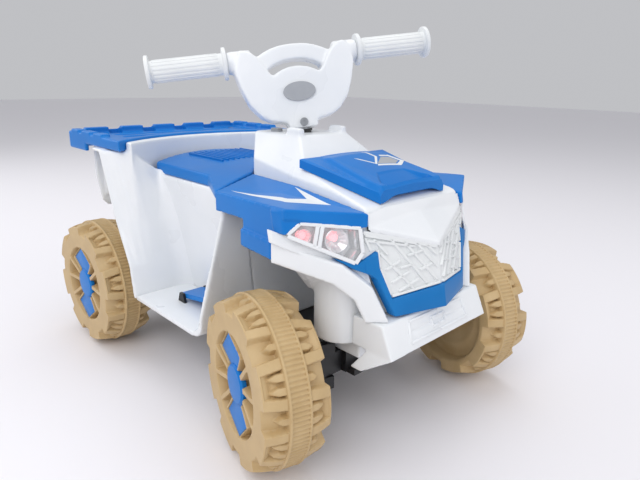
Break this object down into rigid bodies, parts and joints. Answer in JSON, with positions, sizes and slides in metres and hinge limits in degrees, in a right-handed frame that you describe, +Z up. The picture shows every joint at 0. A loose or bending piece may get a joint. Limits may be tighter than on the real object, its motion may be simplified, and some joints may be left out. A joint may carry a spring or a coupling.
{
  "type": "kids quad bike",
  "caption": "Ride-on quad for a toddler with steered front wheels, geared rear wheel drive, footwells, saddle seat and rear rack.",
  "frame": {"origin": "on the ground below the middle of the wheelbase", "axes": "+X forward, +Y to the rider's left, +Z up"},
  "size_m": [0.6678, 0.4668, 0.4996],
  "materials": {
    "white_plastic": "moulded gloss",
    "blue_plastic": "moulded gloss",
    "tan_plastic": "blow moulded satin",
    "black_plastic": "moulded matt",
    "steel": "zinc plated",
    "gear_plastic": "moulded nylon",
    "clear_lens": "clear polycarbonate",
    "chrome_reflector": "vacuum metallised",
    "lamp_plastic": "moulded epoxy",
    "grey_plastic": "moulded gloss"
  },
  "bodies": {
    "body": {"battery": "black_plastic", "bumper_arms": "white_plastic", "center_body": "white_plastic", "chassis": "black_plastic", "column_bushes": "black_plastic", "console": "white_plastic", "front_bumper": "white_plastic", "gearbox_inner_case": "black_plastic", "gearbox_outer_case": "black_plastic", "grille_panel": "white_plastic", "grille_trim": "blue_plastic", "hood": "blue_plastic", "kingpins": "steel", "lamp_housings": "chrome_reflector", "lamp_leds": "lamp_plastic", "lamp_lenses": "clear_lens", "left_footwell": "white_plastic", "left_front_fender": "blue_plastic", "motor": "steel", "nose_shield": "white_plastic", "nose_tower": "white_plastic", "pedal_bracket": "black_plastic", "pedal_switch": "black_plastic", "rack_screws": "steel", "rear_axle": "steel", "rear_axle_nuts": "steel", "rear_rack": "blue_plastic", "right_footwell": "white_plastic", "right_front_fender": "blue_plastic", "seat": "blue_plastic", "tail_body": "white_plastic"},
    "steering": {"handlebar": "white_plastic", "left_grip": "white_plastic", "right_grip": "white_plastic", "handlebar_badge": "grey_plastic", "handlebar_bolt": "steel", "steering_column": "steel"},
    "tie_rod": {"tie_rod": "black_plastic"},
    "right_knuckle": {"right_knuckle": "black_plastic", "right_stub_axle": "steel", "front_right_axle_nut": "steel"},
    "left_knuckle": {"left_knuckle": "black_plastic", "left_stub_axle": "steel", "front_left_axle_nut": "steel"},
    "front_right_wheel": {"front_right_wheel": "tan_plastic", "front_right_hub_cap": "blue_plastic"},
    "front_left_wheel": {"front_left_wheel": "tan_plastic", "front_left_hub_cap": "blue_plastic"},
    "rear_right_wheel": {"rear_right_wheel": "tan_plastic", "rear_right_hub_cap": "blue_plastic", "output_gear": "gear_plastic"},
    "rear_left_wheel": {"rear_left_wheel": "tan_plastic", "rear_left_hub_cap": "blue_plastic"},
    "second_gear": {"second_gear": "gear_plastic"},
    "first_gear": {"first_gear": "gear_plastic"},
    "motor_pinion": {"motor_pinion": "gear_plastic"},
    "accelerator_pedal": {"accelerator_pedal": "blue_plastic"},
    "direction_rocker": {"direction_rocker": "black_plastic"},
    "power_button": {"power_button": "grey_plastic"}
  },
  "joints": [
    {"name": "steer", "type": "hinge", "parent": "body", "child": "steering", "pos_m": [0.047, 0, 0.454], "axis": [-0.2419, 0, 0.9703], "range_deg": [0, 64]},
    {"name": "tie_rod_slide", "type": "slide", "parent": "body", "child": "tie_rod", "axis": [0, -1, 0], "range_m": [-0.0005, 0.0535]},
    {"name": "right_knuckle_turn", "type": "hinge", "parent": "body", "child": "right_knuckle", "pos_m": [0.219, -0.105, 0.1], "axis": [0, 0, 1], "range_deg": [-0.5, 31.5]},
    {"name": "left_knuckle_turn", "type": "hinge", "parent": "body", "child": "left_knuckle", "pos_m": [0.219, 0.105, 0.1], "axis": [0, 0, 1], "range_deg": [-0.5, 31.5]},
    {"name": "front_right_wheel_spin", "type": "hinge", "parent": "right_knuckle", "child": "front_right_wheel", "pos_m": [0.19992, -0.17443, 0.1], "axis": [0.265, 0.9643, 0], "continuous": true},
    {"name": "front_left_wheel_spin", "type": "hinge", "parent": "left_knuckle", "child": "front_left_wheel", "pos_m": [0.23808, 0.17443, 0.1], "axis": [0.265, 0.9643, 0], "continuous": true},
    {"name": "rear_right_wheel_spin", "type": "hinge", "parent": "body", "child": "rear_right_wheel", "pos_m": [-0.219, -0.177, 0.1], "axis": [0, 1, 0], "continuous": true},
    {"name": "rear_left_wheel_spin", "type": "hinge", "parent": "body", "child": "rear_left_wheel", "pos_m": [-0.219, 0.177, 0.1], "axis": [0, 1, 0], "continuous": true},
    {"name": "second_gear_spin", "type": "hinge", "parent": "body", "child": "second_gear", "pos_m": [-0.19787, -0.105, 0.13973], "axis": [0, 1, 0], "continuous": true},
    {"name": "first_gear_spin", "type": "hinge", "parent": "body", "child": "first_gear", "pos_m": [-0.20127, -0.095, 0.17206], "axis": [0, 1, 0], "continuous": true},
    {"name": "motor_pinion_spin", "type": "hinge", "parent": "body", "child": "motor_pinion", "pos_m": [-0.19887, -0.09, 0.19493], "axis": [0, 1, 0], "continuous": true},
    {"name": "pedal_press", "type": "hinge", "parent": "body", "child": "accelerator_pedal", "pos_m": [-0.038, -0.118, 0.115], "axis": [0, 1, 0], "range_deg": [0, 7], "stiffness_Nm_per_rad": 2, "springref_deg": -5.73},
    {"name": "direction_rock", "type": "hinge", "parent": "body", "child": "direction_rocker", "pos_m": [0.044, 0.025, 0.354], "axis": [0, 1, 0], "range_deg": [-6, 6]},
    {"name": "power_press", "type": "slide", "parent": "body", "child": "power_button", "axis": [0, 0, -1], "range_m": [0, 0.0025], "stiffness_N_per_m": 300, "springref_m": -0.001}
  ],
  "couplings": [
    {"joint": "tie_rod_slide", "follows": "steer", "m_per_rad": 0.047441},
    {"joint": "right_knuckle_turn", "follows": "steer", "ratio": 0.48014},
    {"joint": "left_knuckle_turn", "follows": "steer", "ratio": 0.48014},
    {"joint": "second_gear_spin", "follows": "rear_right_wheel_spin", "ratio": -4},
    {"joint": "first_gear_spin", "follows": "rear_right_wheel_spin", "ratio": 13.333},
    {"joint": "motor_pinion_spin", "follows": "rear_right_wheel_spin", "ratio": -48}
  ]
}
